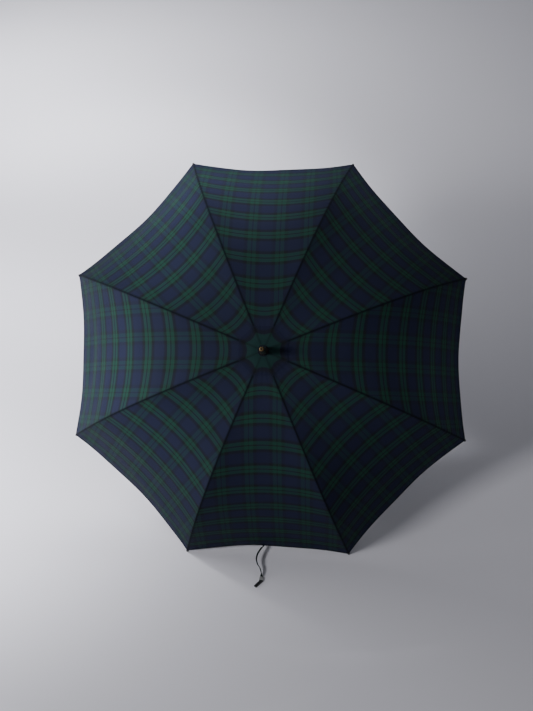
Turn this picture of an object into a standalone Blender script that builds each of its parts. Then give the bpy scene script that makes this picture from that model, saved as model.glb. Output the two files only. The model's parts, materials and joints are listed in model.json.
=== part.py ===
"""An open stick umbrella with eight ribs and a crook handle.

It stands as an umbrella is put down open: on two rib tips and the bottom of its crook. +Z is up from
the floor, +X runs along the two tips that stand on it, and the handle lies towards +Y.

The umbrella is drawn in its own shaft frame: Z runs up the shaft to the ferrule, and height 0 is the
ring of rib hinges. The empty "shaft_frame" tilts that frame on to the floor.
"""

import math

import bmesh
import bpy
from mathutils import Matrix, Vector

# Driving dimensions, in metres and radians.
RIBS = 8
RIB_LENGTH = 0.600
RIB_TURN = math.radians(66)
JOINT_SHARE = 0.40
STRETCHER_LENGTH = 0.260
PIVOT_RADIUS = 0.0125
INNER_SHUT_SLOPE = math.radians(84)
OUTER_SHUT_SLOPE = math.radians(84)

SHAFT_RADIUS = 0.0070
NECK_RADIUS = 0.0050
FERRULE_TIP = 0.088
HANDLE_TOP = -0.600
HANDLE_RADIUS = 0.0110
HANDLE_STRAIGHT = 0.125
CROOK_RADIUS = 0.042
CROOK_NOSE = 0.022

CHANNEL_WIDTH = 0.0028
CHANNEL_DEPTH = 0.0026
CHANNEL_WALL = 0.0005
TIP_RADIUS = 0.0030
TIP_BACK = 0.010
COVER_THICKNESS = 0.0006
COVER_LIFT = 0.0032
CROWN_LIFT = 0.0018
HEM_FROM_TIP = 0.007
COVER_SAG = 0.015
CAP_EDGE = 0.0405

STRAP_WIDTH = 0.011
STRAP_THICKNESS = 0.0012
STRAP_MIDDLE = 0.0075
GAP = 0.0003

HALF_GORE = math.pi / RIBS
FIRST_RIB = HALF_GORE
JOINT_AT = JOINT_SHARE * RIB_LENGTH


# --- where things are ---


def slope(share):
    """A rib's slope at a share of its length. It bends most at the stretcher joint, and not at its ends."""
    most = 2 * RIB_TURN
    if share < JOINT_SHARE:
        return most * share**2 / (2 * JOINT_SHARE)
    beyond = share - JOINT_SHARE
    return most * (JOINT_SHARE / 2 + beyond - beyond**2 / (2 * (1 - JOINT_SHARE)))


def rib_point(distance, steps=96):
    """(radius, height, slope) of a rib's centre line at a distance from its hinge. Behind it, it is level."""
    if distance <= 0:
        return PIVOT_RADIUS + distance, 0.0, 0.0
    radius, height, step = PIVOT_RADIUS, 0.0, distance / steps
    for i in range(steps):
        angle = slope((i + 0.5) * step / RIB_LENGTH)
        radius += step * math.cos(angle)
        height -= step * math.sin(angle)
    return radius, height, slope(distance / RIB_LENGTH)


JOINT_RADIUS, JOINT_HEIGHT, JOINT_SLOPE = rib_point(JOINT_AT)
RUNNER_DROP = math.sqrt(STRETCHER_LENGTH**2 - (JOINT_RADIUS - PIVOT_RADIUS) ** 2)
RUNNER_HEIGHT = JOINT_HEIGHT - RUNNER_DROP
STRETCHER_SLOPE = math.asin(RUNNER_DROP / STRETCHER_LENGTH)


def shut_positions():
    """How far each joint turns, and the runner slides, as the umbrella shuts."""
    inner_length = math.hypot(JOINT_RADIUS - PIVOT_RADIUS, JOINT_HEIGHT)
    inner_open = math.atan2(-JOINT_HEIGHT, JOINT_RADIUS - PIVOT_RADIUS)
    tip_radius, tip_height, _ = rib_point(RIB_LENGTH)
    outer_open = math.atan2(JOINT_HEIGHT - tip_height, tip_radius - JOINT_RADIUS)
    inner = INNER_SHUT_SLOPE - inner_open
    outer = OUTER_SHUT_SLOPE - outer_open - inner
    out = inner_length * math.cos(INNER_SHUT_SLOPE)
    down = inner_length * math.sin(INNER_SHUT_SLOPE)
    stretcher_shut = math.acos(out / STRETCHER_LENGTH)
    stretcher = -(stretcher_shut - STRETCHER_SLOPE) - inner
    runner = -down - STRETCHER_LENGTH * math.sin(stretcher_shut) - RUNNER_HEIGHT
    return inner, outer, stretcher, runner


INNER_FOLD, OUTER_FOLD, STRETCHER_FOLD, RUNNER_TRAVEL = shut_positions()
RUNNER_SHUT = RUNNER_HEIGHT + RUNNER_TRAVEL


def rib_azimuth(number):
    return FIRST_RIB + 2 * HALF_GORE * number


def resting_tilt():
    """The shaft's slope over the floor, with two rib tips and the crook's lowest point on it."""
    radius, height, _ = rib_point(RIB_LENGTH + 0.001)
    below = radius * math.cos(HALF_GORE)
    behind = height - (HANDLE_TOP - HANDLE_STRAIGHT - CROOK_RADIUS)
    thicker = HANDLE_RADIUS - TIP_RADIUS
    return math.atan2(below, behind) - math.asin(thicker / math.hypot(below, behind))


SHAFT_SLOPE = resting_tilt()
CROOK_BOTTOM = HANDLE_TOP - HANDLE_STRAIGHT - CROOK_RADIUS
HINGES_OVER_FLOOR = HANDLE_RADIUS - CROOK_BOTTOM * math.sin(SHAFT_SLOPE)
TILT = Matrix.Translation((0, 0, HINGES_OVER_FLOOR)) @ Matrix.Rotation(math.pi / 2 - SHAFT_SLOPE, 4, "X")


# --- mesh tools ---


def closed_mesh(name, bm):
    """A mesh from bm, with its faces turned out and its edges sharp where it has corners."""
    bmesh.ops.recalc_face_normals(bm, faces=bm.faces)
    mesh = bpy.data.meshes.new(name)
    bm.to_mesh(mesh)
    bm.free()
    mesh.shade_smooth()
    mesh.set_sharp_from_angle(angle=math.radians(35))
    return mesh


def loft(name, rings):
    """A closed solid through rings of points, with a flat face on its first and last ring."""
    bm = bmesh.new()
    rows = [[bm.verts.new(point) for point in ring] for ring in rings]
    for near, far in zip(rows, rows[1:]):
        for i in range(len(near)):
            j = (i + 1) % len(near)
            bm.faces.new((near[i], near[j], far[j], far[i]))
    bm.faces.new(rows[0])
    bm.faces.new(rows[-1])
    return closed_mesh(name, bm)


def turned(name, profile, sides=24):
    """A solid turned about Z. The profile is (radius, height) points: a closed ring, or one that starts and
    ends on the axis."""
    solid = profile[0][0] == 0 and profile[-1][0] == 0
    bm = bmesh.new()
    rows = []
    for radius, height in profile:
        if radius == 0:
            rows.append([bm.verts.new((0, 0, height))] * sides)
            continue
        turns = [2 * math.pi * i / sides for i in range(sides)]
        rows.append([bm.verts.new((radius * math.cos(a), radius * math.sin(a), height)) for a in turns])
    pairs = list(zip(rows, rows[1:]))
    if not solid:
        pairs.append((rows[-1], rows[0]))
    for near, far in pairs:
        for i in range(sides):
            j = (i + 1) % sides
            corners = (near[i], near[j], far[j], far[i])
            bm.faces.new(tuple(dict.fromkeys(corners)))
    return closed_mesh(name, bm)


def plate(name, outline, low, high):
    """A flat plate: an outline of (x, z) points, from y = low to y = high."""
    return loft(name, [[(x, y, z) for x, z in outline] for y in (low, high)])


def box(name, low, high):
    (x0, y0, z0), (x1, y1, z1) = low, high
    return plate(name, [(x0, z0), (x1, z0), (x1, z1), (x0, z1)], y0, y1)


def peg(name, centre, radius, reach, sides=12):
    """A round peg along Y, from -reach to reach, about a point (x, z)."""
    turns = [2 * math.pi * i / sides for i in range(sides)]
    outline = [(centre[0] + radius * math.cos(a), centre[1] + radius * math.sin(a)) for a in turns]
    return plate(name, outline, -reach, reach)


def tab(name, centre, slope_down, length, radius, low, high):
    """A plate round at a pivot, reaching length from it along a line that slopes down from +X."""
    along = Vector((math.cos(slope_down), -math.sin(slope_down)))
    across = Vector((math.sin(slope_down), math.cos(slope_down)))
    pivot = Vector(centre)
    outline = []
    for i in range(7):
        turn = math.pi / 2 + math.pi * i / 6
        outline.append(pivot + radius * (math.cos(turn) * along + math.sin(turn) * across))
    outline.append(pivot + length * along - radius * across)
    outline.append(pivot + length * along + radius * across)
    return plate(name, outline, low, high)


def combined(mesh, tools, operation):
    """A new mesh: mesh with each tool joined to it (UNION) or cut from it (DIFFERENCE)."""
    collection = bpy.context.scene.collection
    body = bpy.data.objects.new("body", mesh)
    collection.objects.link(body)
    helpers = []
    for tool in tools:
        helper = bpy.data.objects.new("helper", tool)
        collection.objects.link(helper)
        modifier = body.modifiers.new("combine", "BOOLEAN")
        modifier.operation = operation
        modifier.object = helper
        helpers.append(helper)
    bpy.context.view_layer.update()
    graph = bpy.context.evaluated_depsgraph_get()
    result = bpy.data.meshes.new_from_object(body.evaluated_get(graph))
    for helper in [body, *helpers]:
        bpy.data.objects.remove(helper)
    result.name = mesh.name
    result.shade_smooth()
    result.set_sharp_from_angle(angle=math.radians(35))
    return result


def around(mesh, turn):
    """A copy of a mesh, turned about Z."""
    copy = mesh.copy()
    copy.transform(Matrix.Rotation(turn, 4, "Z"))
    return copy


# --- objects and materials ---

MATERIALS = {
    "cover": ((0.030, 0.042, 0.050), 0.75, 0.0),
    "steel": ((0.055, 0.055, 0.060), 0.35, 0.9),
    "wire": ((0.55, 0.55, 0.56), 0.30, 1.0),
    "brass": ((0.62, 0.50, 0.32), 0.30, 1.0),
    "dark_wood": ((0.085, 0.040, 0.020), 0.40, 0.0),
    "shaft_wood": ((0.22, 0.12, 0.06), 0.45, 0.0),
    "black_plastic": ((0.015, 0.015, 0.016), 0.45, 0.0),
    "strap": ((0.012, 0.014, 0.018), 0.80, 0.0),
}


def material(slot):
    """The material of a slot, made the first time it is asked for."""
    if slot not in bpy.data.materials:
        colour, roughness, metallic = MATERIALS[slot]
        new = bpy.data.materials.new(slot)
        new.use_nodes = True
        shader = new.node_tree.nodes["Principled BSDF"]
        shader.inputs["Base Color"].default_value = (*colour, 1.0)
        shader.inputs["Roughness"].default_value = roughness
        shader.inputs["Metallic"].default_value = metallic
        new.diffuse_color = (*colour, 1.0)
    return bpy.data.materials[slot]


def place(name, mesh, slot, parent, at=(0, 0, 0), turn=0.0):
    """A named piece on its parent. Its origin, at, is on its joint if it moves."""
    piece = bpy.data.objects.new(name, mesh)
    if not mesh.materials:
        mesh.materials.append(material(slot))
    bpy.context.scene.collection.objects.link(piece)
    piece.parent = parent
    piece.location = at
    piece.rotation_euler = (0, 0, turn)
    return piece


def empty(name, parent=None, matrix=None):
    holder = bpy.data.objects.new(name, None)
    bpy.context.scene.collection.objects.link(holder)
    holder.parent = parent
    holder.matrix_local = matrix or Matrix.Identity(4)
    return holder


# --- the stick: shaft, ferrule, handle and catches ---

NOTCH_TOP = 0.003
ROSETTE = (0.0033, 0.0038)
COVER_TOP = CROWN_LIFT + COVER_LIFT + COVER_THICKNESS / 2
FERRULE_BASE = COVER_TOP + COVER_THICKNESS + 2 * GAP
SHAFT_TOP = 0.046
SOCKET_DEPTH = 0.030
RUNNER_BARREL = 0.042
RUNNER_BARREL_RADIUS = 0.0095
CROWN_HALF = 0.004
CROWN_RADIUS = 0.0150
WIRE_RADIUS = 0.0005
RUNNER_WIRE = 0.0106
CATCH_LENGTH = 0.0214
CATCH_ROOT = 0.0040
TOP_CATCH = RUNNER_HEIGHT - RUNNER_BARREL - 0.0005 - CATCH_LENGTH
BOTTOM_CATCH = RUNNER_SHUT - 0.0295 + CATCH_LENGTH
PIN_RADIUS = 0.0010
PIN_HEIGHT = RUNNER_HEIGHT + CROWN_HALF + GAP + PIN_RADIUS


def catch_pocket(root, upward):
    """The pocket in the shaft behind a catch spring."""
    ends = sorted((root - upward * 0.003, root + upward * (CATCH_LENGTH + 0.0015)))
    return box("pocket", (0.0020, -0.0016, ends[0]), (0.0090, 0.0016, ends[1]))


def build_shaft(frame):
    foot = HANDLE_TOP - SOCKET_DEPTH + GAP
    profile = [
        (0, SHAFT_TOP),
        (NECK_RADIUS - 0.001, SHAFT_TOP),
        (NECK_RADIUS, SHAFT_TOP - 0.001),
        (NECK_RADIUS, NOTCH_TOP),
        (SHAFT_RADIUS, NOTCH_TOP),
        (SHAFT_RADIUS, foot),
        (0, foot),
    ]
    hole = peg("hole", (0, 0), PIN_RADIUS + GAP, 0.010)
    hole.transform(Matrix.Translation((0, 0, PIN_HEIGHT)))
    cutters = [catch_pocket(TOP_CATCH, 1), catch_pocket(BOTTOM_CATCH, -1), hole]
    mesh = combined(turned("shaft", profile), cutters, "DIFFERENCE")
    place("shaft", mesh, "shaft_wood", frame)


def build_ferrule(frame):
    """A tapered wooden ferrule over the shaft's neck, and the brass ring round its end."""
    ring_foot = FERRULE_TIP - 0.012
    profile = [
        (0, FERRULE_TIP - 0.0012),
        (0.0024, FERRULE_TIP - 0.0012),
        (0.0024, ring_foot),
        (0.0050, ring_foot),
        (0.0068, 0.045),
        (0.0080, 0.014),
        (0.0086, 0.009),
        (0.0084, FERRULE_BASE),
        (NECK_RADIUS + GAP, FERRULE_BASE),
        (NECK_RADIUS + GAP, SHAFT_TOP + GAP),
        (0, SHAFT_TOP + GAP),
    ]
    place("ferrule", turned("ferrule", profile), "dark_wood", frame)
    ring = [
        (0.0027, FERRULE_TIP),
        (0.0042, FERRULE_TIP),
        (0.0048, FERRULE_TIP - 0.0006),
        (0.0049, ring_foot + GAP),
        (0.0027, ring_foot + GAP),
    ]
    place("ferrule_ring", turned("ferrule_ring", ring), "brass", frame)


def crook_rings():
    """Circles along the handle: down its straight grip, half way round the crook, and up its nose."""
    stations = [(HANDLE_TOP, HANDLE_RADIUS - 0.0014), (HANDLE_TOP - 0.0145, HANDLE_RADIUS - 0.0014)]
    stations += [(HANDLE_TOP - 0.0147, HANDLE_RADIUS - 0.0002), (HANDLE_TOP - 0.016, HANDLE_RADIUS)]
    stations += [(HANDLE_TOP - HANDLE_STRAIGHT * share, HANDLE_RADIUS) for share in (0.5, 1.0)]
    path = [(Vector((0, 0, height)), 0.0, radius) for height, radius in stations]
    bend = HANDLE_TOP - HANDLE_STRAIGHT
    for i in range(1, 13):
        turn = math.pi * i / 12
        out, down = CROOK_RADIUS * (1 - math.cos(turn)), CROOK_RADIUS * math.sin(turn)
        path.append((Vector((out, 0, bend - down)), turn, HANDLE_RADIUS))
    for up, radius in ((CROOK_NOSE - 0.004, 1.0), (CROOK_NOSE - 0.001, 0.85), (CROOK_NOSE, 0.55)):
        path.append((Vector((2 * CROOK_RADIUS, 0, bend + up)), math.pi, HANDLE_RADIUS * radius))
    rings = []
    for centre, turn, radius in path:
        across = Vector((math.cos(turn), 0, math.sin(turn)))
        angles = [2 * math.pi * i / 16 for i in range(16)]
        side = Vector((0, 1, 0))
        rings.append([centre + radius * (math.cos(a) * across + math.sin(a) * side) for a in angles])
    return rings


def build_handle(frame):
    bore = [(0, 0.001), (SHAFT_RADIUS + GAP, 0.001), (SHAFT_RADIUS + GAP, -SOCKET_DEPTH), (0, -SOCKET_DEPTH)]
    cutter = turned("bore", bore)
    cutter.transform(Matrix.Translation((0, 0, HANDLE_TOP)))
    mesh = combined(loft("handle", crook_rings()), [cutter], "DIFFERENCE")
    place("handle", mesh, "dark_wood", frame)
    inner, outer = HANDLE_RADIUS - 0.0014 + GAP, HANDLE_RADIUS + 0.0004
    collar = [(inner, 0), (outer - 0.0005, 0), (outer, -0.0006), (outer, -0.0136)]
    collar += [(outer - 0.0005, -0.0142), (inner, -0.0142)]
    mesh = turned("handle_collar", collar, 32)
    place("handle_collar", mesh, "brass", frame, (0, 0, HANDLE_TOP))


def catch_mesh(name, upward):
    """A bent strip of spring steel: its root is fixed, and its shoulder stands out of the shaft."""
    outline = [
        (0.0006, -0.0005),
        (0.0054, 0.0193),
        (0.0052, 0.0204),
        (0.0014, CATCH_LENGTH),
        (0.0012, 0.0203),
        (0.0040, 0.0192),
        (-0.0005, -0.0003),
    ]
    return plate(name, [(x, upward * z) for x, z in outline], -0.0012, 0.0012)


def build_catches(frame):
    place("top_spring", catch_mesh("top_spring", 1), "wire", frame, (CATCH_ROOT, 0, TOP_CATCH))
    place("bottom_spring", catch_mesh("bottom_spring", -1), "wire", frame, (CATCH_ROOT, 0, BOTTOM_CATCH))
    pin = peg("stop_pin", (0, 0), PIN_RADIUS, 0.0092)
    place("stop_pin", pin, "wire", frame, (0, 0, PIN_HEIGHT))


# --- notch and runner, where ribs and stretchers hinge ---


def slots(inner, width, low, high):
    """Eight radial slots, one for each rib."""
    slot = box("slot", (inner, -width / 2, low), (CROWN_RADIUS + 0.002, width / 2, high))
    return [around(slot, rib_azimuth(number)) for number in range(RIBS)]


def wire_ring(name, radius):
    """A ring of round wire."""
    sides = [2 * math.pi * i / 6 for i in range(6)]
    return turned(name, [(radius + WIRE_RADIUS * math.cos(a), WIRE_RADIUS * math.sin(a)) for a in sides], 32)


def groove(low, high):
    """A ring cutter that makes room for a wire."""
    half = WIRE_RADIUS + GAP
    return turned("groove", [(low, half), (high, half), (high, -half), (low, -half)], 32)


def build_notch(frame):
    bore = SHAFT_RADIUS + GAP
    profile = [
        (bore, NOTCH_TOP),
        (CROWN_RADIUS - 0.001, NOTCH_TOP),
        (CROWN_RADIUS, NOTCH_TOP - 0.001),
        (CROWN_RADIUS, -0.004),
        (0.0110, -0.006),
        (0.0095, -0.012),
        (bore, -0.012),
    ]
    body = turned("top_notch", profile, 32)
    cutters = slots(0.0098, 0.0022, -0.0125, 0.0021)
    cutters.append(groove(PIVOT_RADIUS - WIRE_RADIUS - GAP, CROWN_RADIUS + 0.002))
    place("top_notch", combined(body, cutters, "DIFFERENCE"), "black_plastic", frame)
    place("notch_wire", wire_ring("notch_wire", PIVOT_RADIUS), "wire", frame)


def build_runner(frame):
    """The sliding runner: a slotted crown over a barrel with a slot for the thumb and the lower catch."""
    bore, barrel = SHAFT_RADIUS + GAP + 0.0001, RUNNER_BARREL_RADIUS
    profile = [
        (bore, CROWN_HALF),
        (CROWN_RADIUS - 0.0005, CROWN_HALF),
        (CROWN_RADIUS, CROWN_HALF - 0.0005),
        (CROWN_RADIUS, -CROWN_HALF),
        (barrel, -CROWN_HALF - 0.003),
        (barrel, -RUNNER_BARREL + 0.004),
        (barrel + 0.001, -RUNNER_BARREL + 0.003),
        (barrel + 0.001, -RUNNER_BARREL),
        (bore, -RUNNER_BARREL),
    ]
    body = turned("runner", profile, 32)
    cutters = slots(RUNNER_WIRE + WIRE_RADIUS, 0.0028, -0.0085, CROWN_HALF + 0.001)
    cutters.append(groove(RUNNER_WIRE - WIRE_RADIUS - GAP, RUNNER_WIRE + WIRE_RADIUS + GAP))
    cutters.append(box("thumb_slot", (0.004, -0.0018, -0.0300), (0.012, 0.0018, -0.0140)))
    at = (0, 0, RUNNER_HEIGHT)
    place("runner", combined(body, cutters, "DIFFERENCE"), "black_plastic", frame, at)
    place("runner_wire", wire_ring("runner_wire", RUNNER_WIRE), "wire", frame, at)


# --- ribs and stretchers ---


def channel(name, start, end, origin, pieces):
    """A stretch of rib: steel channel, open on its inner side, bent along the rib's curve."""
    wide, deep, wall = CHANNEL_WIDTH / 2, CHANNEL_DEPTH / 2, CHANNEL_WALL
    section = [(-wide, -deep), (-wide, deep), (wide, deep), (wide, -deep)]
    section += [(wide - wall, -deep), (wide - wall, deep - wall)]
    section += [(wall - wide, deep - wall), (wall - wide, -deep)]
    rings = []
    for i in range(pieces + 1):
        radius, height, angle = rib_point(start + (end - start) * i / pieces)
        x, z = radius - origin[0], height - origin[1]
        rings.append([(x + n * math.sin(angle), y, z + n * math.cos(angle)) for y, n in section])
    return loft(name, rings)


def inner_rib_mesh():
    """From the notch to the stretcher joint, with a flat eye at each end."""
    hinge = (PIVOT_RADIUS, 0.0)
    joint = (JOINT_RADIUS - PIVOT_RADIUS, JOINT_HEIGHT)
    body = channel("rib_inner", 0.0065, JOINT_AT - 0.004, hinge, 6)
    eyes = [
        tab("eye", (0, 0), 0.0, 0.012, 0.0016, -0.0007, 0.0007),
        tab("eye", joint, JOINT_SLOPE + math.pi, 0.010, 0.0016, -0.0007, 0.0007),
    ]
    holes = [peg("hole", (0, 0), 0.0009, 0.002), peg("hole", joint, 0.0009, 0.002)]
    return combined(combined(body, eyes, "UNION"), holes, "DIFFERENCE")


def outer_rib_mesh():
    """From the stretcher joint to the tip, with two cheeks at the joint."""
    joint = (JOINT_RADIUS, JOINT_HEIGHT)
    body = channel("rib_outer", JOINT_AT + 0.004, RIB_LENGTH - 0.003, joint, 8)
    cheeks = [
        tab("cheek", (0, 0), JOINT_SLOPE, 0.010, 0.0016, side * 0.0013 - 0.0003, side * 0.0013 + 0.0003)
        for side in (-1, 1)
    ]
    hole = peg("hole", (0, 0), 0.0009, 0.002)
    return combined(combined(body, cheeks, "UNION"), [hole], "DIFFERENCE")


def stretcher_mesh():
    """A bar from the runner to the joint, where it forks round the rib and carries the rivet."""
    reach = STRETCHER_LENGTH - 0.0009
    along = math.pi - STRETCHER_SLOPE
    toward = Vector((math.cos(along), -math.sin(along)))
    normal = Vector((-toward.y, toward.x))

    def bar(start, end, deep, wide):
        corners = [(start, -deep), (end, -deep), (end, deep), (start, deep)]
        outline = [a * toward + b * normal for a, b in corners]
        return plate("stretcher", outline, -wide, wide)

    cheeks = [
        tab("cheek", (0, 0), along, 0.014, 0.0015, side * 0.0022 - 0.0003, side * 0.0022 + 0.0003)
        for side in (-1, 1)
    ]
    rivet = peg("rivet", (0, 0), 0.0006, 0.0025, 10)
    yoke = bar(0.0115, 0.0155, 0.0014, 0.0025)
    return combined(bar(0.012, reach, 0.0010, 0.0010), [yoke, *cheeks, rivet], "UNION")


def tip_mesh():
    """A round-ended cap, drawn down +Z from the rib's end, with a socket for the rib."""
    deep = TIP_RADIUS
    profile = [(0, 0.001 + deep)]
    for i in range(1, 5):
        turn = math.pi / 2 * i / 4
        profile.append((deep * math.sin(turn), 0.001 + deep * math.cos(turn)))
    profile += [(deep * 0.85, -TIP_BACK + 0.001), (deep * 0.80, -TIP_BACK), (0.0021, -TIP_BACK)]
    profile += [(0.0021, -0.0027), (0, -0.0027)]
    return turned("rib_tip", profile, 16)


def build_ribs(frame):
    inner, outer, stretcher, tip = inner_rib_mesh(), outer_rib_mesh(), stretcher_mesh(), tip_mesh()
    radius, height, angle = rib_point(RIB_LENGTH)
    tip.transform(Matrix.Rotation(math.pi / 2 + angle, 4, "Y"))
    for number in range(RIBS):
        turn = rib_azimuth(number)

        def at(distance, up):
            return (distance * math.cos(turn), distance * math.sin(turn), up)

        name = number + 1
        place(f"rib_{name}_inner", inner, "steel", frame, at(PIVOT_RADIUS, 0), turn)
        place(f"rib_{name}_outer", outer, "steel", frame, at(JOINT_RADIUS, JOINT_HEIGHT), turn)
        place(f"stretcher_{name}", stretcher, "steel", frame, at(JOINT_RADIUS, JOINT_HEIGHT), turn)
        place(f"rib_tip_{name}", tip, "black_plastic", frame, at(radius, height), turn)


# --- the cover ---


def smooth(share):
    share = min(max(share, 0.0), 1.0)
    return share * share * (3 - 2 * share)


def cover_point(distance, across, lift, inset=0.0004):
    """A point of the cover between two ribs: across is -1 to 1, and the gore's middle lies along +X.

    The cover lies on the ribs, rises over the notch, and sinks in towards the middle of each gore."""
    radius, height, angle = rib_point(distance)
    raised = lift + COVER_LIFT + CROWN_LIFT * smooth((0.045 - radius) / 0.021)
    radius += raised * math.sin(angle)
    height += raised * math.cos(angle)
    sag = COVER_SAG * smooth(distance / (0.6 * RIB_LENGTH)) * (1 - across**2)
    out = radius * math.cos(HALF_GORE) - sag * math.sin(angle)
    side = across * (radius * math.sin(HALF_GORE) - inset)
    return Vector((out, side, height - sag * math.cos(angle)))


def sheet(name, rows, columns, lifts, inset=0.0004):
    """A thin closed solid between two lifts over the cover's surface."""
    bm = bmesh.new()
    faces = []
    for lift in lifts:
        faces.append([[bm.verts.new(cover_point(d, c, lift, inset)) for c in columns] for d in rows])
    last_row, last_column = len(rows) - 1, len(columns) - 1
    for layer in faces:
        for i in range(last_row):
            for j in range(last_column):
                bm.faces.new((layer[i][j], layer[i + 1][j], layer[i + 1][j + 1], layer[i][j + 1]))
    rim = [(0, j) for j in range(last_column)] + [(i, last_column) for i in range(last_row)]
    rim += [(last_row, j) for j in range(last_column, 0, -1)] + [(i, 0) for i in range(last_row, 0, -1)]
    for (i, j), (k, m) in zip(rim, rim[1:] + rim[:1]):
        bm.faces.new((faces[0][i][j], faces[0][k][m], faces[1][k][m], faces[1][i][j]))
    return closed_mesh(name, bm)


def build_cover(frame):
    """Eight gores, the fabric cap over their crown, and the rosette between the notch and the cover."""
    half = COVER_THICKNESS / 2
    end = RIB_LENGTH - HEM_FROM_TIP
    rows = [0.008 - PIVOT_RADIUS, 0.010, 0.022, 0.036, 0.075, 0.115, 0.150, 0.180, 0.210]
    rows += [JOINT_AT + (end - JOINT_AT) * i / 9 for i in range(10)]
    columns = [-1, -0.55, 0, 0.55, 1]
    gore = sheet("gore", rows, columns, (-half, half))
    for number in range(RIBS):
        place(f"gore_{number + 1}", gore, "cover", frame, (0, 0, 0), rib_azimuth(number) + HALF_GORE)
    place("crown_cap", crown_cap_mesh(), "cover", frame)
    low, high = ROSETTE
    disc = turned("rosette", [(0.0056, high), (0.020, high), (0.020, low), (0.0056, low)])
    place("rosette", disc, "strap", frame)


def crown_cap_mesh():
    """An eight-sided fabric cap on the cover, round the foot of the ferrule."""
    half = COVER_THICKNESS / 2
    lift = COVER_THICKNESS + GAP
    rings = []
    rows = [0.0062 - PIVOT_RADIUS, 0.010, 0.022, CAP_EDGE]
    for side, order in ((half, rows), (-half, rows[::-1])):
        for distance in order:
            ring = []
            for number in range(RIBS):
                spin = Matrix.Rotation(rib_azimuth(number) + HALF_GORE, 3, "Z")
                ring += [spin @ cover_point(distance, across, lift + side, 0.0) for across in (-1, 0)]
            rings.append(ring)
    bm = bmesh.new()
    verts = [[bm.verts.new(point) for point in ring] for ring in rings]
    for near, far in zip(verts, verts[1:] + verts[:1]):
        for i in range(len(near)):
            j = (i + 1) % len(near)
            bm.faces.new((near[i], near[j], far[j], far[i]))
    return closed_mesh("crown_cap", bm)


# --- the tie strap, which hangs from the hem between the two standing tips on to the floor ---


def strap_route():
    """Points along the strap's middle, on one level: from the hem it winds over the floor on its edge."""
    gore = Matrix.Rotation(-math.pi / 2, 4, "Z")
    hem = TILT @ gore @ cover_point(RIB_LENGTH - HEM_FROM_TIP, 0, -COVER_LIFT)
    steps = [(-0.0100, -0.0015), (-0.0140, -0.0060), (-0.0200, -0.0180), (-0.0225, -0.0320)]
    steps += [(-0.0200, -0.0460), (-0.0145, -0.0580), (-0.0105, -0.0680), (-0.0080, -0.0800)]
    return [Vector((hem.x + x, hem.y + y, STRAP_MIDDLE)) for x, y in steps]


def build_strap(stand):
    route = strap_route()
    rings = []
    for i, point in enumerate(route):
        along = route[min(i + 1, len(route) - 1)] - route[max(i - 1, 0)]
        level = along.cross(Vector((0, 0, 1))).normalized()
        wide, thick = STRAP_WIDTH / 2, STRAP_THICKNESS / 2
        corners = [(-wide, -thick), (wide, -thick), (wide, thick), (-wide, thick)]
        rings.append([point + Vector((0, 0, a)) + b * level for a, b in corners])
    place("strap", loft("strap", rings), "strap", stand)
    end = box("strap_end", (-0.0042, -0.0315, -0.0014), (0.0042, -0.0005, 0.0014))
    end.transform(Matrix.Rotation(math.radians(-30), 4, "Z"))
    at = route[-1] + Vector((0.0005, -0.0025, 0.0018 - STRAP_MIDDLE))
    place("strap_end", end, "black_plastic", stand, at)


def centre_on_origin(stand):
    """Moves the whole umbrella along Y until the middle of its box is over the origin."""
    bpy.context.view_layer.update()
    reach = []
    for piece in bpy.context.scene.objects:
        if piece.type == "MESH":
            reach += [(piece.matrix_world @ vertex.co).y for vertex in piece.data.vertices]
    stand.location.y -= (min(reach) + max(reach)) / 2


def main():
    for piece in list(bpy.data.objects):
        bpy.data.objects.remove(piece)
    stand = empty("stand")
    frame = empty("shaft_frame", stand, TILT)
    build_shaft(frame)
    build_ferrule(frame)
    build_handle(frame)
    build_catches(frame)
    build_notch(frame)
    build_runner(frame)
    build_ribs(frame)
    build_cover(frame)
    build_strap(stand)
    centre_on_origin(stand)


main()
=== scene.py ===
"""An open stick umbrella with a tartan cover, standing on two rib tips and its crook.

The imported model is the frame. The cover, crown cap, tie strap, ferrule, handle and rib tips are made
here in full detail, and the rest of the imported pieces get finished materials.
"""

import json
import math

import bmesh
import bpy
import numpy as np
from mathutils import Matrix, Vector


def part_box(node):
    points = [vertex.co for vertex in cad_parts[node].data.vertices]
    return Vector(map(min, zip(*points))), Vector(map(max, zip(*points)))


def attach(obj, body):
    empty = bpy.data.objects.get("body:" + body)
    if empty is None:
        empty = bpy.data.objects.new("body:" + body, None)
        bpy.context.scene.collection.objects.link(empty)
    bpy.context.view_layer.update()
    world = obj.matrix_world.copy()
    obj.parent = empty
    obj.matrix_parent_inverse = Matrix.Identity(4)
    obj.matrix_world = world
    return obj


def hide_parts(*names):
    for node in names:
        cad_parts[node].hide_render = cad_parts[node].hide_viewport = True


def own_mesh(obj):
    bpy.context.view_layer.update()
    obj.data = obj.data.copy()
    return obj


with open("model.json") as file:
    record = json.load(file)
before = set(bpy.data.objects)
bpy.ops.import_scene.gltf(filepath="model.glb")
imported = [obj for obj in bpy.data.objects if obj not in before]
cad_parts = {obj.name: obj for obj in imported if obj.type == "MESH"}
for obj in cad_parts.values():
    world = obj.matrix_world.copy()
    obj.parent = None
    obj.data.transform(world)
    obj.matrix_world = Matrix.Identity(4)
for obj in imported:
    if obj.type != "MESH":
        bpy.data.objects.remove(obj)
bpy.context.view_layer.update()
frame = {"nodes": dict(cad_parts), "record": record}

# The umbrella's dimensions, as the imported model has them, in metres and radians.
RIBS = 8
HALF_GORE = math.pi / RIBS
RIB_LENGTH = 0.600
RIB_TURN = math.radians(66)
JOINT_SHARE = 0.40
JOINT_AT = JOINT_SHARE * RIB_LENGTH
PIVOT_RADIUS = 0.0125
HEM_AT = RIB_LENGTH - 0.007
HANDLE_TOP = -0.600
HANDLE_RADIUS = 0.0110
HANDLE_STRAIGHT = 0.125
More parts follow.
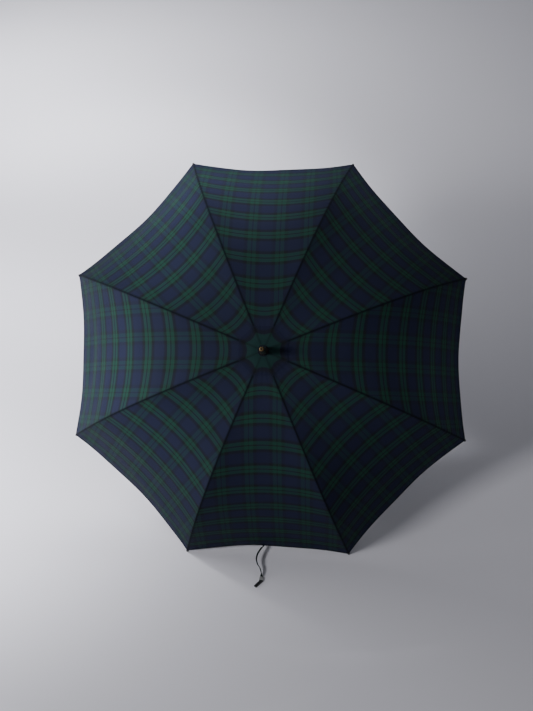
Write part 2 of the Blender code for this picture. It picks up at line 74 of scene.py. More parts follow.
CROOK_RADIUS = 0.042
CROOK_NOSE = 0.022
FERRULE_BASE = 0.0065
FERRULE_TIP = 0.088

# The shaft's own frame: Z runs up the shaft to the ferrule, and height 0 is the ring of rib hinges.
JOINTS = {joint["name"]: joint for joint in frame["record"]["behaviour"]["joints"]}
UP = -Vector(JOINTS["runner_slide"]["axis"]).normalized()
ACROSS = Vector((1, 0, 0))
BACK = UP.cross(ACROSS)
HINGES = [Vector(JOINTS[f"rib_{n + 1}_hinge"]["pos_m"]) for n in range(RIBS)]
CENTRE = sum(HINGES, Vector()) / RIBS
SHAFT = Matrix.Translation(CENTRE) @ Matrix((ACROSS, BACK, UP)).transposed().to_4x4()


def in_rib_frame(number):
    """The world matrix of a rib's own frame: X out along the rib, Y across it, Z up the shaft."""
    return SHAFT @ Matrix.Rotation(HALF_GORE * (2 * number + 1), 4, "Z")


# --- camera, floor and light ---

CAMERA_AZIMUTH = math.radians(3.5)
CAMERA_ELEVATION = math.radians(40.4)
CAMERA_ROLL = math.radians(-1.6)
CAMERA_DISTANCE = 2.8
CAMERA_LENS = 72.0
CAMERA_REACH = 50

# The middle of the view, counted from the ring of hinges: up the shaft, then right and down in the view.
AIM_UP_SHAFT, AIM_RIGHT, AIM_DOWN = 0.005, 0.0061, 0.0093

FLOOR_SIZE = 9
FLOOR_COLOUR = (0.70, 0.69, 0.755, 1)
ROOM_COLOUR = (0.93, 0.95, 1.0, 1)
ROOM_STRENGTH = 0.14
WHITE = (1, 1, 1)
COOL = (0.97, 0.98, 1.0)

# Soft square lamps: name, place, what it faces, width, power, colour, and spread in degrees.
LAMPS = [
    ("key", (-1.85, -2.13, 2.25), (0, 0, 0.3), 0.65, 54, WHITE, 180),
    ("window_back", (-1.40, 1.60, 1.00), (-0.3, 1.9, 0), 0.6, 21.5, COOL, 120),
    ("window_low", (-1.00, -0.10, 0.50), (-0.1, -0.07, 0), 0.6, 5.5, COOL, 180),
]

# Spotlights: name, place, what it faces, cone in degrees, and power.
SPOTS = [
    ("wash_wide", (-1.90, 0.50, 1.60), (-1.0, 0.22, 0), 48, 230),
    ("wash_left", (-1.30, 0.00, 2.00), (-0.72, -0.20, 0), 24, 80),
    ("wash_back", (-0.80, 1.50, 2.20), (-0.50, 1.00, 0), 40, 169),
    ("top_left", (-0.90, 0.90, 2.30), (-0.12, 0.14, 0.50), 12, 500),
    ("top_right", (0.90, 1.60, 2.30), (0, 0.12, 0.50), 13, 215),
    ("left_fill", (-1.90, -0.90, 1.20), (-0.17, -0.12, 0.38), 11, 220),
    ("right_fill", (2.40, -0.60, 1.40), (0.25, -0.10, 0.35), 13, 60),
]
SPOT_BLEND = 0.7
SPOT_RADIUS = 0.2


def add_camera():
    outward = Vector((
        math.sin(CAMERA_AZIMUTH) * math.cos(CAMERA_ELEVATION),
        -math.cos(CAMERA_AZIMUTH) * math.cos(CAMERA_ELEVATION),
        math.sin(CAMERA_ELEVATION),
    ))
    turn = outward.to_track_quat("Z", "Y") @ Matrix.Rotation(CAMERA_ROLL, 3, "Z").to_quaternion()
    right, up = turn @ Vector((1, 0, 0)), turn @ Vector((0, 1, 0))
    target = CENTRE + UP * AIM_UP_SHAFT + right * AIM_RIGHT - up * AIM_DOWN
    camera = bpy.data.objects.new("camera", bpy.data.cameras.new("camera"))
    camera.data.lens = CAMERA_LENS
    camera.data.clip_end = CAMERA_REACH
    camera.location = target + outward * CAMERA_DISTANCE
    camera.rotation_mode = "QUATERNION"
    camera.rotation_quaternion = turn
    bpy.context.scene.collection.objects.link(camera)
    bpy.context.scene.camera = camera


def hang_light(name, light, place, at):
    """Puts a light in its place, facing a point."""
    obj = bpy.data.objects.new(name, light)
    obj.visible_camera = False
    obj.location = place
    obj.rotation_mode = "QUATERNION"
    obj.rotation_quaternion = (Vector(place) - Vector(at)).to_track_quat("Z", "Y")
    bpy.context.scene.collection.objects.link(obj)


def add_lights():
    for name, place, at, width, power, colour, spread in LAMPS:
        light = bpy.data.lights.new(name, "AREA")
        light.shape = "RECTANGLE"
        light.size, light.size_y = width, width
        light.spread = math.radians(spread)
        light.energy = power
        light.color = colour
        hang_light(name, light, place, at)
    for name, place, at, cone, power in SPOTS:
        light = bpy.data.lights.new(name, "SPOT")
        light.spot_size = math.radians(cone)
        light.spot_blend = SPOT_BLEND
        light.shadow_soft_size = SPOT_RADIUS
        light.energy = power
        light.color = COOL
        hang_light(name, light, place, at)


def add_floor():
    """A broad sheet of pale paper."""
    bm = bmesh.new()
    bmesh.ops.create_grid(bm, x_segments=1, y_segments=1, size=FLOOR_SIZE)
    mesh = bpy.data.meshes.new("floor")
    bm.to_mesh(mesh)
    bm.free()
    floor = bpy.data.objects.new("floor", mesh)
    bpy.context.scene.collection.objects.link(floor)
    paint = bpy.data.materials.new("floor")
    paint.use_nodes = True
    shader = paint.node_tree.nodes["Principled BSDF"]
    shader.inputs["Base Color"].default_value = FLOOR_COLOUR
    shader.inputs["Roughness"].default_value = 0.85
    shader.inputs["Specular IOR Level"].default_value = 0.2
    mesh.materials.append(paint)


def add_studio():
    add_floor()
    world = bpy.data.worlds.new("room")
    world.use_nodes = True
    background = world.node_tree.nodes["Background"]
    background.inputs["Color"].default_value = ROOM_COLOUR
    background.inputs["Strength"].default_value = ROOM_STRENGTH
    bpy.context.scene.world = world
    add_lights()


# --- node materials ---


class Nodes:
    """A short way to write a material's nodes."""

    def __init__(self, name):
        self.material = bpy.data.materials.new(name)
        self.material.use_nodes = True
        self.tree = self.material.node_tree
        self.shader = self.tree.nodes["Principled BSDF"]

    def put(self, socket, value):
        if isinstance(value, bpy.types.NodeSocket):
            self.tree.links.new(value, socket)
        else:
            socket.default_value = value

    def node(self, kind, out=0, settings=None, **inputs):
        new = self.tree.nodes.new(kind)
        for key, value in (settings or {}).items():
            setattr(new, key, value)
        for key, value in inputs.items():
            self.put(new.inputs[key.replace("_", " ")], value)
        return new.outputs[out]

    def math(self, operation, a, b=0.0):
        new = self.tree.nodes.new("ShaderNodeMath")
        new.operation = operation
        self.put(new.inputs[0], a)
        self.put(new.inputs[1], b)
        return new.outputs[0]

    def mix(self, share, a, b, blend="MIX"):
        """Mixes two colours, which this node has at inputs 6 and 7, with the result at output 2."""
        new = self.tree.nodes.new("ShaderNodeMix")
        new.data_type = "RGBA"
        new.blend_type = blend
        self.put(new.inputs[0], share)
        self.put(new.inputs[6], a)
        self.put(new.inputs[7], b)
        return new.outputs[2]

    def ramp(self, value, stops):
        new = self.tree.nodes.new("ShaderNodeValToRGB")
        elements = new.color_ramp.elements
        while len(elements) < len(stops):
            elements.new(0.5)
        for element, (position, colour) in zip(elements, stops):
            element.position = position
            element.color = (*colour, 1)
        self.put(new.inputs[0], value)
        return new.outputs[0]

    def greys(self, noise, low, high):
        """Turns a noise into greys from low to high."""
        return self.ramp(noise, [(0.3, (low,) * 3), (0.7, (high,) * 3)])

    def noise(self, vector, scale, detail=2.0, roughness=0.5):
        inputs = {"Vector": vector, "Scale": scale, "Detail": detail, "Roughness": roughness}
        return self.node("ShaderNodeTexNoise", **inputs)

    def object_coords(self):
        """Coordinates in the object's own frame, the fourth output of this node."""
        return self.node("ShaderNodeTexCoord", out=3)

    def shaft_coords(self, scale):
        """Coordinates in the shaft's frame, stretched by scale."""
        to_shaft = tuple(SHAFT.to_3x3().inverted().to_euler())
        turned = self.node("ShaderNodeMapping", Vector=self.object_coords(), Rotation=to_shaft)
        return self.node("ShaderNodeMapping", Vector=turned, Scale=scale)

    def bump(self, height, strength, distance):
        normal = self.node("ShaderNodeBump", Height=height, Strength=strength, Distance=distance)
        self.put(self.shader.inputs["Normal"], normal)

    def finish(self, **inputs):
        for key, value in inputs.items():
            self.put(self.shader.inputs[key.replace("_", " ")], value)
        return self.material


GREEN = (0.0132, 0.0455, 0.0340)
NAVY = (0.0152, 0.0182, 0.0410)
DARK = (0.0138, 0.0158, 0.0195)
# The near black below is mixed in at seams, stitches and the hem's edge. Along the seams it is partly the
# seams' own colour and partly painted shade.
SEAM_AND_SHADE = (0.005, 0.006, 0.009, 1)
TARTAN_REPEAT = 0.056
TWILL_PITCH = 0.0011
THREAD_NOISE = 1400.0


def sett(nodes, coordinate, line):
    """The tartan's stripes in one direction: a green band with a line down its middle and dark borders,
    between navy bands."""
    share = nodes.math("FRACT", nodes.math("DIVIDE", coordinate, TARTAN_REPEAT))
    away = nodes.math("MULTIPLY", nodes.math("ABSOLUTE", nodes.math("SUBTRACT", share, 0.5)), 2.0)
    stops = [
        (0.000, line), (0.035, line), (0.055, GREEN), (0.290, GREEN), (0.330, DARK), (0.480, DARK),
        (0.640, NAVY), (1.000, NAVY),
    ]
    return nodes.ramp(away, stops)


def cover_material(name, shade=1.0, line=DARK):
    """Tartan twill. Its stripes follow a piece's thread coordinates, and a point attribute mixes in a near
    black: at the seams this is partly their own colour and partly painted shade, and it also marks the hem's
    stitches and edge and the crown disc's stitches.
    """
    nodes = Nodes(name)
    uv = nodes.node("ShaderNodeUVMap", settings={"uv_map": "thread"})
    split = nodes.tree.nodes.new("ShaderNodeSeparateXYZ")
    nodes.put(split.inputs[0], uv)
    u, v = split.outputs[0], split.outputs[1]
    diagonal = nodes.math("FRACT", nodes.math("DIVIDE", nodes.math("ADD", u, v), TWILL_PITCH))
    twill = nodes.math("PINGPONG", nodes.math("MULTIPLY", diagonal, 2.0), 1.0)
    share = nodes.math("ADD", nodes.math("MULTIPLY", twill, 0.4), 0.48)
    cloth = nodes.mix(share, sett(nodes, u, line), sett(nodes, v, line))
    soft = nodes.noise(nodes.object_coords(), 9.0, 3.0)
    cloth = nodes.mix(1.0, cloth, nodes.greys(soft, 0.92 * shade, 1.06 * shade), "MULTIPLY")
    # This darkening is partly the seams' own colour and partly painted shade along them.
    seams_and_shade = nodes.node("ShaderNodeAttribute", out=2, settings={"attribute_name": "seams_and_shade"})
    cloth = nodes.mix(seams_and_shade, cloth, SEAM_AND_SHADE)
    threads = nodes.math("ADD", twill, nodes.noise(uv, THREAD_NOISE))
    nodes.bump(threads, 0.25, 0.0003)
    rough = nodes.greys(soft, 0.70, 0.80)
    return nodes.finish(Base_Color=cloth, Roughness=rough, Specular_IOR_Level=0.04)


def wood_material(name, pale, dark, roughness, coat):
    """Lacquered wood with its grain along the shaft."""
    nodes = Nodes(name)
    grain = nodes.noise(nodes.shaft_coords((260, 260, 9)), 1.0, 6.0, 0.65)
    streaks = nodes.noise(nodes.shaft_coords((60, 60, 3)), 1.0, 3.0)
    tone = nodes.math("ADD", nodes.math("MULTIPLY", grain, 0.6), nodes.math("MULTIPLY", streaks, 0.4))
    middle = tuple((a + b) / 2 for a, b in zip(pale, dark))
    colour = nodes.ramp(tone, [(0.30, dark), (0.50, middle), (0.68, pale)])
    nodes.bump(grain, 0.12, 0.0004)
    rough = nodes.greys(grain, roughness * 0.8, roughness * 1.2)
    return nodes.finish(Base_Color=colour, Roughness=rough, Coat_Weight=coat, Coat_Roughness=0.18)


def metal_material(name, colour, roughness, metallic=1.0):
    """Worn metal with fine lines along the shaft."""
    nodes = Nodes(name)
    fine = nodes.noise(nodes.shaft_coords((900, 900, 60)), 1.0, 4.0)
    spots = nodes.noise(nodes.object_coords(), 60.0, 3.0)
    worn = nodes.ramp(spots, [(0.35, tuple(c * 0.8 for c in colour)), (0.65, colour)])
    rough = nodes.greys(fine, roughness * 0.75, roughness * 1.3)
    nodes.bump(fine, 0.15, 0.0001)
    return nodes.finish(Base_Color=worn, Roughness=rough, Metallic=metallic)


def plastic_material(name, colour, roughness):
    """Moulded plastic with a fine grain and paler marks."""
    nodes = Nodes(name)
    coords = nodes.object_coords()
    grain = nodes.noise(coords, 1800.0)
    marks = nodes.noise(coords, 120.0, 4.0)
    tone = nodes.ramp(marks, [(0.35, colour), (0.7, tuple(c * 1.5 for c in colour))])
    rough = nodes.greys(marks, roughness * 0.85, roughness * 1.2)
    nodes.bump(grain, 0.08, 0.0001)
    return nodes.finish(Base_Color=tone, Roughness=rough)


def felt_material():
    """The rosette's dark felt."""
    nodes = Nodes("rosette_cloth")
    fuzz = nodes.noise(nodes.object_coords(), 900.0, 4.0)
    tone = nodes.ramp(fuzz, [(0.3, (0.010, 0.012, 0.018)), (0.7, (0.030, 0.034, 0.045))])
    nodes.bump(fuzz, 0.4, 0.0004)
    return nodes.finish(Base_Color=tone, Roughness=0.9, Sheen_Weight=0.4)


# --- the cover's shape ---

# How far the cover stands above the ribs' centre lines, and how far a gore's middle sinks between them.
COVER_LIFT = 0.0032
COVER_SAG = 0.015
SAG_FULL_AT = 0.6 * RIB_LENGTH
COVER_THICKNESS = 0.0006

# Over the notch it rises further. The rise fades out at CROWN_RADIUS, over CROWN_SLOPE.
CROWN_LIFT = 0.0018
CROWN_RADIUS = 0.045
CROWN_SLOPE = 0.021

# The cloth's small waves, as the most that each kind stands off the even shape.
LONG_PUCKER, SHORT_PUCKER = 0.00025, 0.00035
GROOVE = 0.0005
PULL = 0.0011
WAVE = 0.0007
GATHER = 0.00012
HEM_WAVE = 0.0012
GORE_PHASE = 2.399
KIND_PHASE = 1.7

# How far the weft bends towards the crown in the middle of a gore.
WEFT_BEND = 0.0066

# How dark and wide the seam lines are, which are partly the seams' own colour and partly painted shade; how
# dark and wide the hem's stitches are and how far they are from its edge; and how dark and wide the
# darkening at the hem's edge is.
SEAM_AND_SHADE_DARK, SEAM_WIDE = 0.95, 0.0025
STITCH_DARK, STITCH_WIDE, STITCH_AT = 0.45, 0.0012, 0.006
EDGE_DARK, EDGE_WIDE = 0.7, 0.0022


def slope(share):
    """The open rib's angle below level at a share of its length. It bends the most at its joint."""
    beyond = max(share - JOINT_SHARE, 0.0)
    near = min(share, JOINT_SHARE)
    turned = near**2 / (2 * JOINT_SHARE) + beyond - beyond**2 / (2 * (1 - JOINT_SHARE))
    return 2 * RIB_TURN * turned


# The open rib's centre line, at even steps along it.
STEP = 0.0005
TABLE_LENGTH = 0.62
TABLE_SIZE = int(round(TABLE_LENGTH / STEP)) + 1
TABLE_AT = np.arange(TABLE_SIZE) * STEP
TABLE_SLOPE = np.array([slope(i * STEP / RIB_LENGTH) for i in range(TABLE_SIZE)])
STEP_SLOPE = (TABLE_SLOPE[1:] + TABLE_SLOPE[:-1]) / 2
TABLE_RADIUS = PIVOT_RADIUS + np.concatenate([[0], np.cumsum(np.cos(STEP_SLOPE)) * STEP])
TABLE_HEIGHT = -np.concatenate([[0], np.cumsum(np.sin(STEP_SLOPE)) * STEP])
STEP_THREAD = np.sqrt(1 - (math.sin(HALF_GORE) * np.cos(STEP_SLOPE)) ** 2) * STEP
TABLE_THREAD = PIVOT_RADIUS * math.cos(HALF_GORE) + np.concatenate([[0], np.cumsum(STEP_THREAD)])


def rib_line(distance):
    """(radius, height, slope, thread) of the rib's centre line. thread counts along the middle of a gore."""
    distance = np.asarray(distance, float)
    tables = (TABLE_RADIUS, TABLE_HEIGHT, TABLE_SLOPE, TABLE_THREAD)
    radius, height, angle, thread = (np.interp(distance, TABLE_AT, table) for table in tables)
    before = np.minimum(distance, 0)
    return radius + before, height, angle, thread + before * math.cos(HALF_GORE)


def smooth(share):
    """A soft step from 0 to 1."""
    share = np.clip(share, 0.0, 1.0)
    return share * share * (3 - 2 * share)


def gore_phase(number, kind):
    """A phase that differs from gore to gore, and from one kind of wave to the next."""
    return GORE_PHASE * (number % RIBS) + KIND_PHASE * kind


def wave_along(distance, length, phase):
    return np.sin(distance * 2 * math.pi / length + phase)


def wrinkles(distance, across, number):
    """How far the cloth stands off its even shape. across is -1 and 1 at the seams and 0 between them.

    The seams lie in a groove with puckers beside it, the tips pull folds, the gores have slow waves, and the
    cloth gathers at the crown and hangs a little loose at the hem.
    """
    from_seam = (1 - np.abs(across)) * rib_line(distance)[0] * math.sin(HALF_GORE)
    from_hem = HEM_AT - distance
    seam_phase = GORE_PHASE * ((number + np.where(across < 0, 0, 1)) % RIBS)
    slack = 1 - across**2

    beside_seam = np.exp(-from_seam / 0.008) * (1 - np.exp(-from_seam / 0.002))
    puckers = beside_seam * (
        SHORT_PUCKER * wave_along(distance, 0.0135, seam_phase)
        + LONG_PUCKER * wave_along(distance, 0.0212, 2 * seam_phase)
    )
    groove = -GROOVE * np.exp(-((from_seam / 0.0014) ** 2))

    near_tip = np.exp(-np.hypot(from_hem, from_seam) / 0.055)
    bearing = np.arctan2(from_seam, np.maximum(from_hem, 1e-6))
    fan = np.sin(7 * bearing + np.sign(across) * 0.6 + seam_phase) * smooth(from_seam / 0.01)
    pulls = PULL * near_tip * fan

    slow = wave_along(distance, 0.155, gore_phase(number, 1) + 1.8 * across)
    quick = wave_along(distance, 0.083, gore_phase(number, 2) - 2.5 * across)
    waves = WAVE * (slow + 0.6 * quick) * slack

    near_crown = np.exp(-(((distance - 0.05) / 0.03) ** 2))
    gathers = GATHER * np.sin(across * 13 + gore_phase(number, 3)) * near_crown
    near_hem = smooth((distance - 0.5) / 0.09)
    hem = HEM_WAVE * near_hem * np.sin(across * 5.5 + gore_phase(number, 4)) * slack

    past_crown = smooth((distance - 0.05) / 0.08)
    return (puckers + pulls + groove + waves) * past_crown + gathers + hem


def gore_point(distance, across, lift, number):
    """Points of the cover in a gore's own frame: its middle lies along +X, and across is -1 to 1."""
    radius, height, angle, _ = rib_line(distance)
    over_crown = CROWN_LIFT * smooth((CROWN_RADIUS - radius) / CROWN_SLOPE)
    raised = lift + COVER_LIFT + over_crown + wrinkles(distance, across, number)
    sag = COVER_SAG * smooth(distance / SAG_FULL_AT) * (1 - across**2)
    radius = radius + raised * np.sin(angle)
    out = radius * math.cos(HALF_GORE) - sag * np.sin(angle)
    side = across * radius * math.sin(HALF_GORE)
    up = height + raised * np.cos(angle) - sag * np.cos(angle)
    return np.stack([out, side, up], axis=-1)


def side_point(distance, share, right, lift, number):
    """Points of the gore right or left of a rib, in the rib's frame. Shares past 1 go beyond its middle."""
    across = np.where(right, share - 1, share + 1)
    points = gore_point(distance, across, lift, np.where(right, number, number - 1))
    turn = np.where(right, HALF_GORE, -HALF_GORE)
    x = points[..., 0] * np.cos(turn) - points[..., 1] * np.sin(turn)
    y = points[..., 0] * np.sin(turn) + points[..., 1] * np.cos(turn)
    return np.stack([x, y, points[..., 2]], axis=-1)


def panel_point(distance, share, lift, number):
    """Points of a rib's panel in its frame. share is 0 on the rib, and -1 or 1 in the middle of a gore."""
    return side_point(distance, share, share >= 0, lift, number)


def panel_normal(distance, share, lift, number):
    """The cover's outward normals. In the middle of a gore both of its panels get the same ones."""
    share_step, distance_step = 0.004, 0.0015
    right = share >= 0
    side = np.where(right, 1.0, -1.0)
    inner = np.clip(np.abs(share) - share_step, 0, None) * side
    outer = (np.abs(share) + share_step) * side
    over = side_point(distance, outer, right, lift, number)
    over = over - side_point(distance, inner, right, lift, number)
    farther = panel_point(distance + distance_step, share, lift, number)
    nearer = panel_point(distance - distance_step, share, lift, number)
    normal = np.cross(over * side[..., None], farther - nearer)
    normal /= np.linalg.norm(normal, axis=-1, keepdims=True)
    return np.where((normal[..., 2:] + normal[..., :1]) < 0, -normal, normal)


def thread_place(distance, share, weft):
    """Thread coordinates: metres from the gore's middle, and metres down the gore as weft (start, scale)."""
    radius, _, _, thread = rib_line(distance)
    across = 1 - np.abs(share)
    bend = WEFT_BEND * np.sin(math.pi * np.sqrt(np.clip(distance / HEM_AT, 0, 1))) * (1 - across**2)
    start, scale = weft
    return across * radius * math.sin(HALF_GORE), start + scale * (thread + bend)


def seam_and_shade_depth(distance, share, seam_and_shade_dark):
    """How dark the cloth is from 0 to 1 at the seam, at the hem's stitches and at the hem's edge. At the
    seam this is partly the seam's own colour and partly painted shade.
    """
    from_rib = np.abs(share) * rib_line(distance)[0] * math.sin(HALF_GORE)
    from_hem = HEM_AT - distance
    seams_and_shade = seam_and_shade_dark * np.exp(-((from_rib / SEAM_WIDE) ** 2))
    seams_and_shade += STITCH_DARK * np.exp(-(((from_hem - STITCH_AT) / STITCH_WIDE) ** 2))
    seams_and_shade += EDGE_DARK * np.exp(-((from_hem / EDGE_WIDE) ** 2))
    return np.clip(seams_and_shade, 0, 1)


def sheet_faces(rows, columns):
    """The faces of a closed sheet: its top, its bottom and the wall round its edge."""
    count = rows * columns
    index = np.arange(count).reshape(rows, columns)
    corners = [index[:-1, :-1], index[1:, :-1], index[1:, 1:], index[:-1, 1:]]
    quads = np.stack(corners, axis=-1).reshape(-1, 4)
    edge = np.concatenate([index[0, :-1], index[:-1, -1], index[-1, :0:-1], index[:0:-1, 0]])
    after = np.roll(edge, -1)
    wall = np.stack([edge, after, after + count, edge + count], axis=-1)
    return np.concatenate([quads, quads[:, ::-1] + count, wall]).tolist()


def shell(name, distance, columns, lift, number, seam_and_shade_dark=SEAM_AND_SHADE_DARK, weft=(0.0, 1.0)):
    """A closed sheet of a rib's panel, with its thread coordinates and its darkening at the seams, which is
    partly painted shade, and at the hem's stitches and edge.

    distance and lift are grids. columns holds the shares that their columns lie at.
    """
    matrix = in_rib_frame(number)
    share = np.repeat(columns[None], len(distance), axis=0)
    half = COVER_THICKNESS / 2
    top = panel_point(distance, share, lift + half, number).reshape(-1, 3)
    bottom = panel_point(distance, share, lift - half, number).reshape(-1, 3)
    mesh = bpy.data.meshes.new(name)
    mesh.from_pydata(np.concatenate([top, bottom]).tolist(), [], sheet_faces(*distance.shape))
    mesh.transform(matrix)

    u, v = thread_place(distance, share, weft)
    uv = np.tile(np.stack([u.ravel(), v.ravel()], axis=-1), (2, 1))
    layer = mesh.uv_layers.new(name="thread")
    corners = np.array([loop.vertex_index for loop in mesh.loops])
    layer.data.foreach_set("uv", uv[corners].astype(np.float32).ravel())
    attribute = mesh.attributes.new("seams_and_shade", "FLOAT", "POINT")
    seams_and_shade = seam_and_shade_depth(distance, share, seam_and_shade_dark).ravel()
    attribute.data.foreach_set("value", np.tile(seams_and_shade, 2).astype(np.float32))
    mesh.validate()
    mesh.update()

    bm = bmesh.new()
    bm.from_mesh(mesh)
    bmesh.ops.recalc_face_normals(bm, faces=bm.faces)
    bm.to_mesh(mesh)
    bm.free()
    mesh.shade_smooth()
    normals = panel_normal(distance, share, lift, number).reshape(-1, 3)
    turned = normals @ np.array(matrix.to_3x3()).T
    mesh.normals_split_custom_set_from_vertices(np.concatenate([turned, -turned]).tolist())
    return mesh


# --- the cover's pieces ---

# The columns of a panel, closer together beside the rib.
SHARES = np.array([
    0.0, 0.006, 0.012, 0.022, 0.04, 0.07, 0.12, 0.19, 0.27, 0.36, 0.46, 0.57, 0.68, 0.79, 0.90, 1.0,
])
COLUMNS = np.concatenate([-SHARES[:0:-1], SHARES])

# The rows of a top panel: level ones to LEVEL_TO, then some that blend to the split between the panels,
# and a flap that goes on under the side panel.
LEVEL_TO = 0.21
LEVEL_ROWS = np.concatenate([[0.006, 0.011, 0.018, 0.026, 0.034], np.linspace(0.042, LEVEL_TO, 26)])
BLEND_SHARES = (0.35, 0.7, 1.0)
FLAP_SHARES = (0.025, 0.25, 0.6, 1.0)
FLAP_LENGTH = 0.020
FLAP_LIFT = -0.0009

# The rows of a side panel, as shares of the way from the split to the hem. The last four are the hem's fold.
SIDE_SHARES = np.concatenate([np.linspace(0, 0.965, 50), [0.978, 0.984, 0.988, 1.0]])
HEM_ROWS = 4
HEM_LIFT = 0.00015


def add_piece(name, mesh, material, body, replaces=()):
    """Puts a mesh in the scene as a named piece that rides on a body."""
    piece = bpy.data.objects.new(name, mesh)
    bpy.context.scene.collection.objects.link(piece)
    mesh.materials.append(material)
    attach(piece, body)
    if replaces:
        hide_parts(*replaces)
    return piece


def fold(piece):
    """Gives a piece its own copy of its mesh."""
    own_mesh(piece)


def split_distance(shares):
    """Where a panel's two halves meet: as near to the joint's axis as the cloth comes."""
    pivot = rib_line(JOINT_AT)[:2]
    tries = np.linspace(JOINT_AT - 0.02, JOINT_AT + 0.06, 321)
    found = []
    for share in shares:
        points = panel_point(tries, np.full(tries.shape, share), 0.0, 0)
        gaps = (points[:, 0] - pivot[0]) ** 2 + (points[:, 2] - pivot[1]) ** 2
        found.append(tries[int(np.argmin(gaps))])
    found = np.array(found)
    return (found + found[::-1]) / 2


def top_grid(split):
    """The distances and lifts of a top panel's rows."""
    level = np.repeat(LEVEL_ROWS[:, None], len(split), axis=1)
    blend = np.array([LEVEL_TO + (split - LEVEL_TO) * share for share in BLEND_SHARES])
    flap = np.array([split + FLAP_LENGTH * share for share in FLAP_SHARES])
    distance = np.concatenate([level, blend, flap])
    lift = np.zeros_like(distance)
    lift[-len(flap):] = FLAP_LIFT
    return distance, lift


def side_grid(split):
    """The distances and lifts of a side panel's rows."""
    distance = split + (HEM_AT - split) * SIDE_SHARES[:, None]
    lift = np.zeros_like(distance)
    lift[-HEM_ROWS:] = HEM_LIFT
    return distance, lift


def add_cover(material):
    """The cover: each rib has a top panel on its inner link and a side panel on its outer link."""
    split = split_distance(COLUMNS)
    top_rows, top_lift = top_grid(split)
    side_rows, side_lift = side_grid(split)
    for number in range(RIBS):
        name = number + 1
        mesh = shell(f"cover_top_{name}", top_rows, COLUMNS, top_lift, number)
        piece = add_piece(f"cover_top_{name}", mesh, material, f"rib_{name}_inner")
        fold(piece)

        mesh = shell(f"cover_side_{name}", side_rows, COLUMNS, side_lift, number)
        replaced = [f"gore_{name}"]
        piece = add_piece(f"cover_side_{name}", mesh, material, f"rib_{name}_outer", replaced)
        fold(piece)


# The crown cap: metres along the rib to its edge, how far it stands above the cover, where its weft starts
# and how that is scaled, how dark its seams are (partly painted shade), and a leaf's flat length and its
# ripples' height.
CAP_EDGE = 0.0405
CAP_LIFT = 0.0016
CAP_WEFT = (0.0115, 0.70)
CAP_SEAM_AND_SHADE_DARK = 0.4
LEAF_RIPPLE = 0.00035

# The rows of a leaf: metres along the rib, and how far each one is above CAP_LIFT. The edge is rolled down.
LEAF_ROWS = np.array([
    (0.0005, 0.0), (0.004, 0.0), (0.009, 0.0), (0.015, 0.0), (0.021, 0.0), (0.027, 0.0), (0.033, 0.0),
    (0.037, 0.0002), (0.0385, 0.0002), (0.0395, -0.0002), (CAP_EDGE, -0.0007),
])
LEAF_SHARES = np.linspace(0.02, 1, 12)
LEAF_COLUMNS = np.concatenate([-LEAF_SHARES[::-1], [0.0], LEAF_SHARES])


def add_crown(material):
    """The crown cap's eight leaves, which fold with the ribs."""
    distance = np.repeat(LEAF_ROWS[:, :1], len(LEAF_COLUMNS), axis=1)
    lift = CAP_LIFT + np.repeat(LEAF_ROWS[:, 1:], len(LEAF_COLUMNS), axis=1)
    near_middle = smooth((0.03 - distance) / 0.03)
    for number in range(RIBS):
        name = f"crown_leaf_{number + 1}"
        ripple = LEAF_RIPPLE * np.sin(np.abs(LEAF_COLUMNS) * 9 + number) * near_middle
        mesh = shell(name, distance, LEAF_COLUMNS, lift + ripple, number, CAP_SEAM_AND_SHADE_DARK, CAP_WEFT)
        piece = add_piece(name, mesh, material, f"rib_{number + 1}_inner")
        fold(piece)


def join_rings(bm, pairs):
    """Faces between pairs of rings of corners. A ring may be one corner repeated."""
    for near, far in pairs:
        for i in range(len(near)):
            j = (i + 1) % len(near)
            bm.faces.new(tuple(dict.fromkeys((near[i], near[j], far[j], far[i]))))


def smooth_mesh(bm, name, sharp=40):
    """Makes a smooth mesh of bm. Edges that turn by more than sharp degrees stay sharp."""
    bmesh.ops.recalc_face_normals(bm, faces=bm.faces)
    mesh = bpy.data.meshes.new(name)
    bm.to_mesh(mesh)
    bm.free()
    mesh.shade_smooth()
    mesh.set_sharp_from_angle(angle=math.radians(sharp))
    return mesh


def turned_mesh(name, profile, sides=64, ripple=None):
    """A solid turned about the shaft. Its (radius, height) profile is a closed ring or goes axis to axis."""
    bm = bmesh.new()
    rings = []
    for radius, height in profile:
        if radius == 0:
            rings.append([bm.verts.new((0, 0, height))] * sides)
            continue
        ring = []
        for i in range(sides):
            turn = 2 * math.pi * i / sides
            lift = ripple(radius, turn) if ripple else 0.0
            ring.append(bm.verts.new((radius * math.cos(turn), radius * math.sin(turn), height + lift)))
        rings.append(ring)
    pairs = list(zip(rings, rings[1:]))
    if profile[0][0] or profile[-1][0]:
        pairs.append((rings[-1], rings[0]))
    join_rings(bm, pairs)
    return smooth_mesh(bm, name)


DISC_SIDES = 96

# The ring of stitches that gathers the crown's disc: its radius, its width and how dark it is.
GATHERED_AT, GATHERED_WIDE, GATHERED_DARK = 0.0088, 0.0016, 0.5

# The gathers' bulge outside that ring: its radius, its width, its height and how many gathers there are.
BULGE_AT, BULGE_WIDE, BULGE_HIGH, BULGES = 0.0112, 0.0018, 0.00022, 24


def thread_by_radius(mesh):
    """Gives a turned cloth piece the thread coordinates of the gores about it."""
    start, scale = CAP_WEFT
    layer = mesh.uv_layers.new(name="thread")
    for loop in mesh.loops:
        x, y, _ = mesh.vertices[loop.vertex_index].co
        radius, turn = math.hypot(x, y), math.atan2(y, x)
        from_middle = turn - round(turn / (2 * HALF_GORE)) * 2 * HALF_GORE
        weft = start + scale * radius * math.cos(from_middle)
        layer.data[loop.index].uv = (abs(radius * math.sin(from_middle)), weft)
    attribute = mesh.attributes.new("seams_and_shade", "FLOAT", "POINT")
    away = [(vertex.co.xy.length - GATHERED_AT) / GATHERED_WIDE for vertex in mesh.vertices]
    attribute.data.foreach_set("value", [GATHERED_DARK * math.exp(-(gap**2)) for gap in away])


